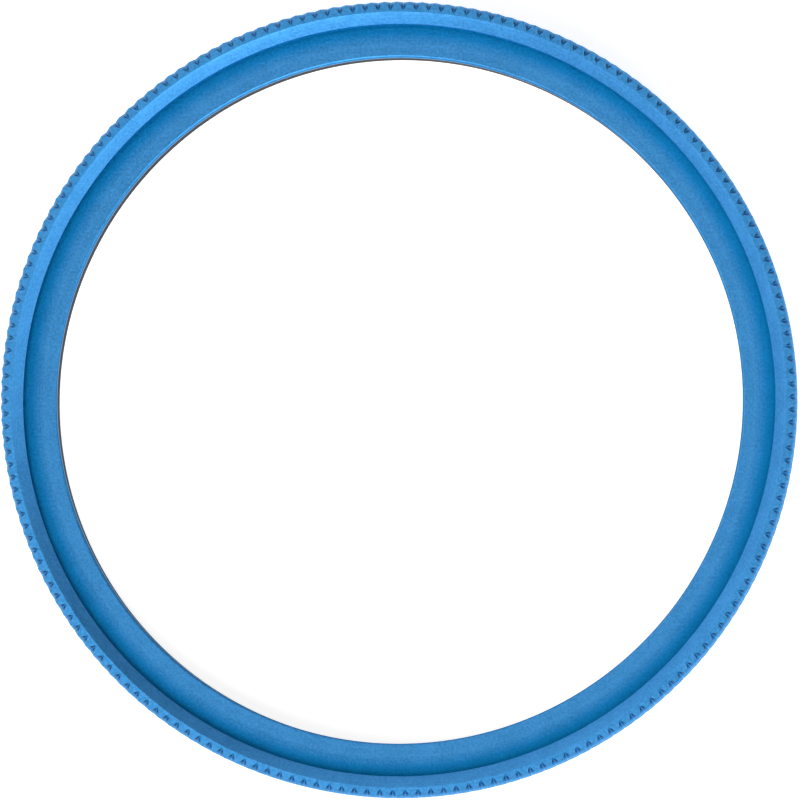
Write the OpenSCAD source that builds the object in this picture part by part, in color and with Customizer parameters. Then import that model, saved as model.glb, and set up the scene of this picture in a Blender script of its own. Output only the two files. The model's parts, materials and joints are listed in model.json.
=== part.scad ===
// Support ring for a case-opening friction ball: a recessed, knurled aluminium
// ring that stands on a dark foot ring let into its underside.
// Millimetres. +Z is the ring's axis, the origin is the middle of the face it stands on.

/* [Knurl] */
// Number of diamond pits around the rim
knurl_count = 194; // [160:2:220]
// Distance from one pit to the next around the rim
knurl_pitch = 1.0; // [0.9:0.05:1.1]
// Depth of each pit below the crests
knurl_depth = 0.65; // [0.3:0.05:0.65]
// Angle between the crests and the ring's axis
knurl_angle = 30; // [28:1:45]

/* [Rim] */
// Height of the whole ring, foot included
total_h = 4.4; // [4.4:0.1:6]
// Radial width of the flat top land, crests to bevel
land_w = 0.8; // [0.75:0.05:1.2]
// Radial width of the bevel inside the land
bevel_w = 0.87; // [0.5:0.01:1.2]
// Height of the bevel inside the land
bevel_h = 0.9; // [0.5:0.05:1.2]
// Depth of the recess, land to floor
recess_depth = 1.6; // [1.4:0.1:1.9]

/* [Flange] */
// Radial width of the recess floor, hole to recess wall
floor_w = 2.55; // [2.4:0.05:6]
// Broken edge around the top of the hole
edge_break = 0.15; // [0.05:0.05:0.3]

/* [Foot] */
// Height of the foot ring
foot_h = 2.1; // [1:0.1:2.1]
// Radial width of the foot ring
foot_w = 2.0; // [1:0.1:2.2]
// How far the foot ring stands proud of the underside
foot_proud = 0.4; // [0.2:0.1:0.6]

/* [Hidden] */
$fn = 180;
outer_r = knurl_count * knurl_pitch / (2 * PI);
ridge_r = outer_r - land_w;
recess_r = ridge_r - bevel_w;
hole_r = recess_r - floor_w;
floor_z = total_h - recess_depth;
margin = 1; // how far a cutter runs past the faces that it cuts

// The crests cross every half pitch around and every row_h down.
row_h = knurl_pitch / (2 * tan(knurl_angle));
bottom_chamfer = 0.4; // least height of the plain chamfer under the knurl
knurl_rows = floor((total_h - foot_proud - bottom_chamfer) / row_h);
steps = 2 * knurl_count;

// A point on the knurled surface: crest crossings and pit bottoms take turns
// around each level, and change places from one level to the next.
function knurl_point(level, step) =
    let (r = (level + step) % 2 == 0 ? outer_r - knurl_depth : outer_r)
    ring_point(r, total_h - level * row_h, step);

function ring_point(r, z, step) =
    [r * cos(360 * step / steps), r * sin(360 * step / steps), z];

function at(level, step) = level * steps + step % steps;

// Two triangles between neighbouring levels, split along the crest so that the
// crests form a net and each mesh of it is a four-sided pit.
function knurl_faces(level, step) =
    (level + step) % 2 == 0
    ? [[at(level, step), at(level, step + 1), at(level + 1, step)],
       [at(level, step + 1), at(level + 1, step + 1), at(level + 1, step)]]
    : [[at(level, step), at(level, step + 1), at(level + 1, step + 1)],
       [at(level, step), at(level + 1, step + 1), at(level + 1, step)]];

// Solid disc with the knurl on its edge, chamfered to the pit bottoms below it
module knurled_disc() {
    levels = knurl_rows + 1;
    top_centre = (levels + 1) * steps;
    bottom_centre = top_centre + 1;
    points = concat(
        [for (level = [0 : knurl_rows], step = [0 : steps - 1]) knurl_point(level, step)],
        [for (step = [0 : steps - 1]) ring_point(outer_r - knurl_depth, foot_proud, step)],
        [[0, 0, total_h], [0, 0, foot_proud]]
    );
    faces = concat(
        [for (level = [0 : knurl_rows], step = [0 : steps - 1]) each knurl_faces(level, step)],
        [for (step = [0 : steps - 1]) [top_centre, at(0, step + 1), at(0, step)]],
        [for (step = [0 : steps - 1]) [bottom_centre, at(levels, step), at(levels, step + 1)]]
    );
    polyhedron(points = points, faces = faces, convexity = 4);
}

// Everything turned away inside the ring: bevel, recess, hole and the foot's rebate
module turned_hollow() {
    rotate_extrude()
        polygon([
            [0, foot_proud - margin],
            [hole_r + foot_w, foot_proud - margin],
            [hole_r + foot_w, foot_h],
            [hole_r, foot_h],
            [hole_r, floor_z - edge_break],
            [hole_r + edge_break, floor_z],
            [recess_r, floor_z],
            [recess_r, total_h - bevel_h],
            [ridge_r + margin * bevel_w / bevel_h, total_h + margin],
            [0, total_h + margin]
        ]);
}

module grip_ring() {
    color([0.24, 0.54, 0.80])
        difference() {
            knurled_disc();
            turned_hollow();
        }
}

module foot_ring() {
    color([0.20, 0.22, 0.24])
        difference() {
            cylinder(h = foot_h, r = hole_r + foot_w);
            translate([0, 0, -margin])
                cylinder(h = foot_h + 2 * margin, r = hole_r);
        }
}

grip_ring();
foot_ring();
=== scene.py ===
"""Support ring of a case opening friction ball: blue anodised, diamond-knurled, on a dark foot ring.

Metres, in the CAD frame: +Z is the ring's axis and z = 0 is the face that it stands on.
"""

import json
import math

import bpy
import numpy as np
from mathutils import Matrix, Vector


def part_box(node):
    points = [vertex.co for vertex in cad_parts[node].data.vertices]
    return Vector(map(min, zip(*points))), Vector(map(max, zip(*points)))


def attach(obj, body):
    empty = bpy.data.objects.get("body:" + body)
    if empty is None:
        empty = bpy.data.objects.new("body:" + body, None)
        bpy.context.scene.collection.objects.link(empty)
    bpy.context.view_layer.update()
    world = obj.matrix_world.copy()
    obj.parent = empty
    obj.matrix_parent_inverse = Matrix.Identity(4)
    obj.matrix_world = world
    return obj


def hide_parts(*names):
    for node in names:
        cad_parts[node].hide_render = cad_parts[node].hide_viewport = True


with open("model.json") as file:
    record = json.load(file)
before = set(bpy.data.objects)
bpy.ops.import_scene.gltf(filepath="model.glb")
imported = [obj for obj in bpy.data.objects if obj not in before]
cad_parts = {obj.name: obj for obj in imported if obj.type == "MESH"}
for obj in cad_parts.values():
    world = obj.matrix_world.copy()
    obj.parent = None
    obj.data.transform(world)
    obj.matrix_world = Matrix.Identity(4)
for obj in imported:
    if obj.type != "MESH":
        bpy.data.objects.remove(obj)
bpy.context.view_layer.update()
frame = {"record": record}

MM = 0.001
FULL_TURN = 2 * math.pi

# ---------------------------------------------------------------- sizes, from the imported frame


def mount_radius(name):
    """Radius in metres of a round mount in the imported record."""
    mount = next(m for m in frame["record"]["mounts"] if m["name"] == name)
    return mount["dims"]["r_mm"] * MM


GRIP_LOW, GRIP_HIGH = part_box("grip_ring")
FOOT_LOW, FOOT_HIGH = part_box("foot_ring")
HOLE_R = mount_radius("ball_seat")
RECESS_R = mount_radius("recess")
OUTER_R = (GRIP_HIGH.x - GRIP_LOW.x) / 2
TOP_Z = GRIP_HIGH.z
UNDER_Z = GRIP_LOW.z
FOOT_TOP_Z = FOOT_HIGH.z
FOOT_OUTER_R = (FOOT_HIGH.x - FOOT_LOW.x) / 2

# The same design values as the CAD source
KNURL_COUNT = 194
KNURL_DEPTH = 0.65 * MM
KNURL_ANGLE = math.radians(30)
KNURL_ROWS = 4
BEVEL_W = 0.87 * MM
BEVEL_H = 0.90 * MM
RECESS_DEPTH = 1.6 * MM
EDGE_BREAK = 0.15 * MM

RIDGE_R = RECESS_R + BEVEL_W
FLOOR_Z = TOP_Z - RECESS_DEPTH
ROOT_R = OUTER_R - KNURL_DEPTH
ROW_H = FULL_TURN * OUTER_R / KNURL_COUNT / (2 * math.tan(KNURL_ANGLE))

# ---------------------------------------------------------------- mesh building

SAMPLES_PER_PIT = 12  # around the rim; a row is sampled half as often, so crests run along diagonals
KNURL_STEPS = KNURL_COUNT * SAMPLES_PER_PIT
TURNED_STEPS = KNURL_STEPS // 2


def ring(radius, z, steps):
    """Points of one circle round the axis. radius may be a number or one value per step."""
    turn = np.arange(steps) * FULL_TURN / steps
    radius = np.broadcast_to(radius, steps)
    return np.column_stack([radius * np.cos(turn), radius * np.sin(turn), np.full(steps, z)])


class Skin:
    """A closed surface laid ring by ring. Each ring is joined to the one before it."""

    def __init__(self):
        self.points = []
        self.faces = []
        self.sizes = []
        self.starts = []

    def add(self, points):
        self.starts.append(sum(self.sizes))
        self.sizes.append(len(points))
        self.points.append(points)
        if len(self.sizes) > 1:
            self.join(len(self.sizes) - 2, len(self.sizes) - 1)

    def close(self):
        self.join(len(self.sizes) - 1, 0)

    def join(self, first, second):
        a, b = self.starts[first], self.starts[second]
        n, m = self.sizes[first], self.sizes[second]
        if n == m:
            self.join_equal(a, b, self.points[first], self.points[second])
        elif n == 2 * m:
            self.join_half(a, n, b, m, False)
        else:
            self.join_half(b, m, a, n, True)

    def join_equal(self, a, b, high, low):
        """Two triangles a step, split along the diagonal that stands prouder, so crests stay sharp."""
        n = len(high)
        radius_high, radius_low = np.hypot(high[:, 0], high[:, 1]), np.hypot(low[:, 0], low[:, 1])
        flat = np.ptp(radius_high) + np.ptp(radius_low) < 1e-9
        for i in range(n):
            j = (i + 1) % n
            if flat:
                self.faces.append((a + i, b + i, b + j, a + j))
            elif radius_high[i] + radius_low[j] > radius_high[j] + radius_low[i]:
                self.faces += [(a + i, b + i, b + j), (a + i, b + j, a + j)]
            else:
                self.faces += [(a + i, b + i, a + j), (a + j, b + i, b + j)]

    def join_half(self, fine, n, coarse, m, flip):
        """Three triangles join two steps of the fine ring to one step of the coarse one."""
        for k in range(m):
            f0, f1, f2 = fine + 2 * k, fine + 2 * k + 1, fine + (2 * k + 2) % n
            c0, c1 = coarse + k, coarse + (k + 1) % m
            made = [(f0, c0, f1), (f1, c0, c1), (f1, c1, f2)]
            self.faces += [face[::-1] for face in made] if flip else made

    def build(self, name, material, body, node):
        mesh = bpy.data.meshes.new(name)
        mesh.from_pydata(np.concatenate(self.points).tolist(), [], self.faces)
        mesh.update()
        mesh.shade_smooth()
        mesh.set_sharp_from_angle(angle=math.radians(32))
        mesh.materials.append(material)
        piece = bpy.data.objects.new(name, mesh)
        bpy.context.scene.collection.objects.link(piece)
        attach(piece, body)
        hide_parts(node)
        return piece


ARC_POINTS = 5


def rounded(corners):
    """The (r, z) outline through corners. Each is (r, z, radius of the arc that turns it, in mm)."""
    outline = []
    count = len(corners)
    for i, (r, z, arc) in enumerate(corners):
        here = Vector((r, z))
        if not arc:
            outline.append(tuple(here))
            continue
        back = (Vector(corners[i - 1][:2]) - here).normalized()
        ahead = (Vector(corners[(i + 1) % count][:2]) - here).normalized()
        half = back.angle(ahead) / 2
        reach = arc * MM / math.tan(half)
        centre = here + (back + ahead).normalized() * arc * MM / math.sin(half)
        start = here + back * reach - centre
        end = here + ahead * reach - centre
        sweep = start.angle_signed(end)
        for k in range(ARC_POINTS + 1):
            turned = Matrix.Rotation(-sweep * k / ARC_POINTS, 2) @ start
            outline.append(tuple(centre + turned))
    return outline


# ---------------------------------------------------------------- materials


class Nodes:
    """Short names for making the nodes of one material."""

    def __init__(self, name):
        self.material = bpy.data.materials.new(name)
        self.material.use_nodes = True
        self.tree = self.material.node_tree
        self.shader = self.tree.nodes["Principled BSDF"]

    def make(self, kind, **values):
        node = self.tree.nodes.new(kind)
        for name, value in values.items():
            if name in node.inputs:
                node.inputs[name].default_value = value
            else:
                setattr(node, name, value)
        return node

    def link(self, start, end):
        self.tree.links.new(start, end)

    def math(self, operation, *terms):
        node = self.make("ShaderNodeMath", operation=operation)
        for slot, term in zip(node.inputs, terms):
            if isinstance(term, (int, float)):
                slot.default_value = term
            else:
                self.link(term, slot)
        return node.outputs[0]

    def mix(self, amount, low, high):
        """Colour between low and high, where amount is an output from 0 to 1."""
        node = self.make("ShaderNodeMix", data_type="RGBA")
        self.link(amount, node.inputs[0])
        for slot, colour in ((node.inputs[6], low), (node.inputs[7], high)):
            if isinstance(colour, tuple):
                slot.default_value = colour
            else:
                self.link(colour, slot)
        return node.outputs[2]

    def tint(self, amount, colour, tint):
        """colour multiplied by tint, as far as amount says."""
        node = self.make("ShaderNodeMix", data_type="RGBA", blend_type="MULTIPLY")
        self.link(amount, node.inputs[0])
        self.link(colour, node.inputs[6])
        node.inputs[7].default_value = tint
        return node.outputs[2]

    def noise(self, size, detail=2.0):
        """Noise whose grains are about size metres across."""
        coordinates = self.make("ShaderNodeTexCoord")
        node = self.make("ShaderNodeTexNoise", Scale=1 / size, Detail=detail)
        self.link(coordinates.outputs["Object"], node.inputs["Vector"])
        return node.outputs["Fac"]

    def bump(self, height, distance, under=None):
        """Normal bent by height, 0 to 1, as if it stood distance metres high, on top of under."""
        node = self.make("ShaderNodeBump", Distance=distance, Strength=1.0)
        self.link(height, node.inputs["Height"])
        if under is not None:
            self.link(under, node.inputs["Normal"])
        return node.outputs["Normal"]

    def range(self, value, low, high, to_low, to_high):
        """value, with low to high mapped onto to_low to to_high and held there beyond them."""
        node = self.make("ShaderNodeMapRange")
        self.link(value, node.inputs["Value"])
        for name, number in (("From Min", low), ("From Max", high), ("To Min", to_low), ("To Max", to_high)):
            node.inputs[name].default_value = number
        return node.outputs["Result"]

    def above(self, value, low, high, most=1.0):
        """Mask that is 0 up to low and most from high on."""
        return self.range(value, low, high, 0.0, most)

    def below(self, value, low, high, most=1.0):
        """Mask that is most up to low and 0 from high on."""
        return self.range(value, low, high, most, 0.0)

    def overlap(self, *masks):
        """Mask that is 1 only where all the masks are."""
        product = masks[0]
        for mask in masks[1:]:
            product = self.math("MULTIPLY", product, mask)
        return product

    def position(self):
        """x, y and z in metres at each point of the surface."""
        coordinates = self.make("ShaderNodeTexCoord")
        parts = self.make("ShaderNodeSeparateXYZ")
        self.link(coordinates.outputs["Object"], parts.inputs[0])
        return parts.outputs


def axis_distance(nodes):
    """Distance from the ring's axis, in metres, at each point of the surface."""
    x, y, _ = nodes.position()
    return nodes.math("SQRT", nodes.math("ADD", nodes.math("MULTIPLY", x, x), nodes.math("MULTIPLY", y, y)))


def turning_marks(nodes, pitch):
    """Uneven rings left by the turning tool, 0 to 1, where pitch is their rough spacing in metres."""
    radius = axis_distance(nodes)
    along = nodes.make("ShaderNodeCombineXYZ")
    nodes.link(radius, along.inputs[0])
    marks = nodes.make("ShaderNodeTexNoise", Scale=1 / pitch, Detail=1.5)
    nodes.link(along.outputs[0], marks.inputs["Vector"])
    return marks.outputs["Fac"]


ANODISED_BLUE = (0.063, 0.300, 0.635, 1.0)
ANODISED_DEEP = (0.040, 0.228, 0.510, 1.0)
# painted shade: the dark tone laid on the recess wall and on the hole's wall
WALL_PAINTED_SHADE = (0.001, 0.115, 0.300, 1.0)
# painted shade, laid deepening into the knurl pits
PIT_PAINTED_SHADE = (0.001, 0.030, 0.090, 1.0)
# painted highlight along the middle of each knurl pit
PIT_LINE_HIGHLIGHT = (0.075, 0.380, 0.700, 1.0)

# What the two blues are multiplied by in places: painted light on the land, painted shade in the recess
LAND_PAINTED_LIGHT = (1.10, 1.11, 1.10, 1.0)
RECESS_PAINTED_SHADE = (0.16, 0.73, 0.84, 1.0)
CORNER_PAINTED_SHADE = (0.20, 0.76, 0.74, 1.0)

FADE = 0.1 * MM  # width over which one tone gives way to another
RECESS_SHADE_REACH = 1.5 * MM  # how far the floor's painted shade reaches in from the recess wall
# how far the deepest painted shade reaches in from the recess wall
CORNER_SHADE_REACH = 0.65 * MM
HOLE_SHADE_SHARE = 0.7  # share of the painted shade colour on the hole's wall
PIT_SHADE_SHARE = 0.95  # share of the painted shade colour at the bottom of a pit
PIT_FULL = 0.42 * MM  # depth below the crests where a pit's painted shade is full
PIT_START = 0.02 * MM  # depth where it starts
LINE_HIGHLIGHT_SHARE = 0.85  # share of the painted highlight colour along the line down the middle of a pit
LINE_CORE = 0.03  # half width of that line, in knurl pitches
LINE_EDGE = 0.09  # where it has faded out, in knurl pitches


def land_painted_light(nodes, colour):
    """colour, with painted light: a little lighter on the flat land round the top."""
    z = nodes.position()[2]
    return nodes.tint(nodes.above(z, TOP_Z - 0.2 * FADE, TOP_Z - 0.1 * FADE), colour, LAND_PAINTED_LIGHT)


def recess_painted_shade(nodes, colour):
    """colour, with painted shade: deeper and purer towards the recess wall, on that wall and on the hole's
    wall.
    """
    radius = axis_distance(nodes)
    z = nodes.position()[2]
    bevel_foot_z = TOP_Z - BEVEL_H
    in_recess = nodes.overlap(
        nodes.below(z, bevel_foot_z - 0.8 * FADE, bevel_foot_z),
        nodes.above(z, FLOOR_Z - 2 * FADE, FLOOR_Z - FADE),
        nodes.below(radius, RECESS_R + FADE, RECESS_R + 2 * FADE),
    )
    sheltered = nodes.above(radius, RECESS_R - RECESS_SHADE_REACH, RECESS_R - CORNER_SHADE_REACH)
    corner = nodes.above(radius, RECESS_R - CORNER_SHADE_REACH, RECESS_R)
    wall = nodes.overlap(
        nodes.above(z, FLOOR_Z + 0.5 * FADE, FLOOR_Z + 2.5 * FADE),
        nodes.above(radius, RECESS_R - FADE, RECESS_R - 0.5 * FADE),
    )
    hole_wall = nodes.overlap(
        nodes.below(z, FLOOR_Z - FADE, FLOOR_Z - 0.4 * FADE),
        nodes.below(radius, HOLE_R + 2 * FADE, HOLE_R + 3 * FADE, HOLE_SHADE_SHARE),
    )
    # painted shade on the recess floor, deepest in the corner by the wall
    colour = nodes.tint(nodes.overlap(sheltered, in_recess), colour, RECESS_PAINTED_SHADE)
    colour = nodes.tint(nodes.overlap(corner, in_recess), colour, CORNER_PAINTED_SHADE)
    # painted shade on the hole's wall and on the recess wall
    colour = nodes.mix(hole_wall, colour, WALL_PAINTED_SHADE)
    return nodes.mix(nodes.overlap(wall, in_recess), colour, WALL_PAINTED_SHADE)


def pit_painted_shade_and_highlight(nodes, colour):
    """colour, with painted shade deepening towards the bottom of each knurl pit and a painted highlight
    along a line down its middle.
    """
    x, y, z = nodes.position()
    radius = axis_distance(nodes)
    turn = nodes.math("MULTIPLY", nodes.math("ARCTAN2", y, x), KNURL_COUNT / FULL_TURN)
    drop = nodes.math("DIVIDE", nodes.math("SUBTRACT", TOP_Z, z), 2 * ROW_H)
    right = nodes.math("ROUND", nodes.math("ADD", turn, drop))
    left = nodes.math("ROUND", nodes.math("SUBTRACT", turn, drop))
    middle = nodes.math("MULTIPLY", nodes.math("ADD", right, left), 0.5)
    aside = nodes.math("ABSOLUTE", nodes.math("SUBTRACT", turn, middle))
    on_side = nodes.overlap(
        nodes.below(z, TOP_Z - 0.3 * FADE, TOP_Z - 0.05 * FADE),
        nodes.above(radius, ROOT_R - 0.5 * FADE, ROOT_R - 0.4 * FADE),
    )
    deep = nodes.below(radius, OUTER_R - PIT_FULL, OUTER_R - PIT_START, PIT_SHADE_SHARE)
    line = nodes.below(aside, LINE_CORE, LINE_EDGE, LINE_HIGHLIGHT_SHARE)
    # painted shade towards the bottom of each pit
    colour = nodes.mix(nodes.overlap(deep, on_side), colour, PIT_PAINTED_SHADE)
    # painted highlight along the middle of each pit
    return nodes.mix(nodes.overlap(line, on_side), colour, PIT_LINE_HIGHLIGHT)


def blue_anodised():
    """Dyed aluminium: a fine blasted grain over faint turning rings and soft clouds, with painted light and
    shade.
    """
    nodes = Nodes("blue_anodised")
    grain = nodes.noise(0.20 * MM)
    clouds = nodes.noise(1.6 * MM)
    rings = turning_marks(nodes, 0.18 * MM)
    shade = nodes.math("MULTIPLY_ADD", grain, 0.6, nodes.math("MULTIPLY", clouds, 0.2))
    shade = nodes.math("MULTIPLY_ADD", rings, 0.2, shade)
    colour = nodes.mix(nodes.above(shade, 0.40, 0.60), ANODISED_DEEP, ANODISED_BLUE)
    # painted light on the land, painted shade in the recess and the knurl pits, a painted highlight down
    # each pit
    colour = pit_painted_shade_and_highlight(nodes, recess_painted_shade(nodes, land_painted_light(nodes, colour)))
    nodes.link(colour, nodes.shader.inputs["Base Color"])
    nodes.link(nodes.range(grain, 0.3, 0.7, 0.45, 0.55), nodes.shader.inputs["Roughness"])
    turned = nodes.bump(rings, 0.004 * MM)
    nodes.link(nodes.bump(grain, 0.016 * MM, under=turned), nodes.shader.inputs["Normal"])
    nodes.shader.inputs["Metallic"].default_value = 1.0
    return nodes.material


RUBBER_DARK = (0.010, 0.011, 0.012, 1.0)
RUBBER_LIGHT = (0.018, 0.019, 0.021, 1.0)


def dark_rubber():
    """Matt moulded rubber, unevenly dark, with a fine grain."""
    nodes = Nodes("dark_rubber")
    grain = nodes.noise(0.08 * MM, detail=3.0)
    clouds = nodes.noise(2.5 * MM)
    nodes.link(nodes.mix(clouds, RUBBER_DARK, RUBBER_LIGHT), nodes.shader.inputs["Base Color"])
    nodes.link(nodes.range(grain, 0.3, 0.7, 0.70, 0.90), nodes.shader.inputs["Roughness"])
    nodes.link(nodes.bump(grain, 0.008 * MM), nodes.shader.inputs["Normal"])
    nodes.shader.inputs["Specular IOR Level"].default_value = 0.15
    return nodes.material


# ---------------------------------------------------------------- the two pieces


TOP_BREAK = 0.02 * MM  # edge broken where the knurl meets the top face
CREST_SOFTNESS = 0.05  # share of the knurl's depth over which a crest bends over
VALLEY_SHARPNESS = 10  # the higher, the sharper the lines where the four sides of a pit meet


def smooth_crest(depth):
    """depth, 0 to 1, but bending over smoothly where it meets 0, so that crests aren't razor sharp."""
    eased = np.sqrt(depth * depth + CREST_SOFTNESS * CREST_SOFTNESS) - CREST_SOFTNESS
    return eased / (math.hypot(1, CREST_SOFTNESS) - CREST_SOFTNESS)


def knurl_radius(steps, depth_below_top):
    """Radius of the knurled edge at each step round, at one depth below the top face.

    Crests run along two families of helices, and every four-sided mesh of that net is a pit.
    """
    turn = np.arange(steps) / steps * KNURL_COUNT
    drop = depth_below_top / (2 * ROW_H)
    from_pit = [np.abs(side - np.round(side)) * 2 for side in (turn + drop, turn - drop)]
    distance = sum(side ** VALLEY_SHARPNESS for side in from_pit) ** (1 / VALLEY_SHARPNESS)
    return OUTER_R - KNURL_DEPTH * smooth_crest(np.clip(1 - distance, 0, 1))


def grip_ring():
    """The turned ring: knurled edge first, from the top face down, then round the section and back up."""
    skin = Skin()
    skin.add(ring(knurl_radius(KNURL_STEPS, 0) - TOP_BREAK, TOP_Z, KNURL_STEPS))
    samples_down = SAMPLES_PER_PIT // 2 * KNURL_ROWS
    for k in range(samples_down + 1):
        depth = ROW_H * KNURL_ROWS * k / samples_down
        skin.add(ring(knurl_radius(KNURL_STEPS, depth), TOP_Z - max(depth, TOP_BREAK), KNURL_STEPS))
    skin.add(ring(ROOT_R, UNDER_Z, KNURL_STEPS))
    section = [
        (ROOT_R - 0.1 * MM, UNDER_Z, 0),
        (FOOT_OUTER_R, UNDER_Z, 0.05),
        (FOOT_OUTER_R, FOOT_TOP_Z, 0),
        (HOLE_R, FOOT_TOP_Z, 0),
        (HOLE_R, FLOOR_Z - EDGE_BREAK, 0.06),
        (HOLE_R + EDGE_BREAK, FLOOR_Z, 0.06),
        (RECESS_R, FLOOR_Z, 0.03),
        (RECESS_R, TOP_Z - BEVEL_H, 0.02),
        (RIDGE_R, TOP_Z, 0.02),
        (RIDGE_R + 0.02 * MM, TOP_Z, 0),
    ]
    for radius, z in rounded(section):
        skin.add(ring(radius, z, TURNED_STEPS))
    skin.close()
    return skin.build("grip_ring_turned", blue_anodised(), "root", "grip_ring")


def foot_ring():
    """The foot: a plain moulded ring with rounded edges."""
    skin = Skin()
    section = [
        (FOOT_OUTER_R, FOOT_TOP_Z, 0),
        (FOOT_OUTER_R, FOOT_LOW.z, 0.25),
        (HOLE_R, FOOT_LOW.z, 0.15),
        (HOLE_R, FOOT_TOP_Z, 0),
    ]
    for radius, z in rounded(section):
        skin.add(ring(radius, z, TURNED_STEPS))
    skin.close()
    return skin.build("foot_ring_moulded", dark_rubber(), "root", "foot_ring")


# ---------------------------------------------------------------- floor, light and camera


FLOOR_HALF = 3.0
FLOOR_DROP = 0.02 * MM  # how far it lies below the foot, so that the two faces aren't in one plane
FLOOR_COLOUR = (0.60, 0.60, 0.60, 1.0)
FLOOR_GLOW = 0.77  # light that it gives off, so that hardly a shadow shows on it


def studio_floor():
    """A pale floor, white under the lamps."""
    mesh = bpy.data.meshes.new("studio_floor")
    corners = [(-1, -1), (1, -1), (1, 1), (-1, 1)]
    mesh.from_pydata([(FLOOR_HALF * x, FLOOR_HALF * y, -FLOOR_DROP) for x, y in corners], [], [(0, 1, 2, 3)])
    nodes = Nodes("pale_floor")
    nodes.shader.inputs["Base Color"].default_value = FLOOR_COLOUR
    nodes.shader.inputs["Roughness"].default_value = 0.9
    nodes.shader.inputs["Emission Color"].default_value = (1.0, 1.0, 1.0, 1.0)
    nodes.shader.inputs["Emission Strength"].default_value = FLOOR_GLOW
    mesh.materials.append(nodes.material)
    floor = bpy.data.objects.new("studio_floor", mesh)
    bpy.context.scene.collection.objects.link(floor)


def direction(azimuth, elevation):
    """Unit vector towards an azimuth, counter-clockwise from +X, and an elevation, both in degrees."""
    a, e = math.radians(azimuth), math.radians(elevation)
    return Vector((math.cos(e) * math.cos(a), math.cos(e) * math.sin(a), math.sin(e)))


# name, azimuth and elevation (degrees), distance, width and height (metres), brightness of its face
#
# These brightnesses weren't chosen by hand. A least-squares program fitted levels to a grid of lamps, and
# its results were averaged in groups and rounded. Only "near" and the level of "back" were set afterwards.
SOFTBOXES = (
    ("key", 285, 35, 1.5, 1.40, 0.80, 7.5),
    ("fill", 195, 35, 1.5, 1.40, 0.80, 3.2),
    ("near", 240, 62, 0.35, 0.20, 0.16, 3.5),
    ("back", 105, 62, 1.5, 0.90, 0.65, 2.4),
    ("low_right", 345, 10, 1.5, 1.60, 0.50, 2.7),
    ("low_back", 98, 10, 1.5, 1.20, 0.50, 1.4),
    ("low_back_left", 142, 10, 1.5, 1.20, 0.50, 1.9),
    ("low_left", 225, 10, 1.5, 1.60, 0.50, 0.6),
)


def softbox(name, azimuth, elevation, distance, width, height, brightness):
    """A rectangular lamp that faces the ring and doesn't show in the picture."""
    data = bpy.data.lights.new(name, "AREA")
    data.shape = "RECTANGLE"
    data.size, data.size_y = width, height
    data.energy = brightness * math.pi * width * height
    lamp = bpy.data.objects.new(name, data)
    towards = direction(azimuth, elevation)
    lamp.location = towards * distance
    lamp.rotation_mode = "QUATERNION"
    lamp.rotation_quaternion = towards.to_track_quat("Z", "Y")
    lamp.visible_camera = False
    bpy.context.scene.collection.objects.link(lamp)


WORLD_SEEN = 0.95
WORLD_LIGHT = 0.04


def studio_world():
    """White all round: bright to the camera, dim as a light, so that the softboxes shape the metal."""
    world = bpy.data.worlds.new("studio")
    world.use_nodes = True
    tree = world.node_tree
    background = tree.nodes["Background"]
    background.inputs["Color"].default_value = (1.0, 1.0, 1.0, 1.0)
    ray = tree.nodes.new("ShaderNodeLightPath")
    strength = tree.nodes.new("ShaderNodeMapRange")
    strength.inputs["To Min"].default_value = WORLD_LIGHT
    strength.inputs["To Max"].default_value = WORLD_SEEN
    tree.links.new(ray.outputs["Is Camera Ray"], strength.inputs["Value"])
    tree.links.new(strength.outputs["Result"], background.inputs["Strength"])
    bpy.context.scene.world = world


CAMERA_DISTANCE = 0.8
CAMERA_AZIMUTH = -43.0
CAMERA_TILT = 4.4
VIEW_WIDTH = 61.95 * MM  # width of the picture at the ring's top face
SENSOR_WIDTH = 36.0
AIM = (0.164 * MM, -0.091 * MM)
ROLL = math.radians(-0.15)


def studio_camera():
    """Nearly straight down the ring's axis, with +Y up in the picture."""
    data = bpy.data.cameras.new("camera")
    data.sensor_width = SENSOR_WIDTH
    data.lens = SENSOR_WIDTH * CAMERA_DISTANCE / VIEW_WIDTH
    data.clip_start, data.clip_end = 0.01, 20.0
    camera = bpy.data.objects.new("camera", data)
    back = direction(CAMERA_AZIMUTH, 90 - CAMERA_TILT)
    right = Vector((-math.sin(ROLL), math.cos(ROLL), 0)).cross(back).normalized()
    up = back.cross(right)
    camera.matrix_world = Matrix.Translation(Vector((*AIM, TOP_Z)) + back * CAMERA_DISTANCE) @ Matrix(
        (right, up, back)
    ).transposed().to_4x4()
    bpy.context.scene.collection.objects.link(camera)
    bpy.context.scene.camera = camera


grip_ring()
foot_ring()
studio_floor()
studio_world()
for values in SOFTBOXES:
    softbox(*values)
studio_camera()
bpy.context.scene.view_settings.view_transform = "Standard"
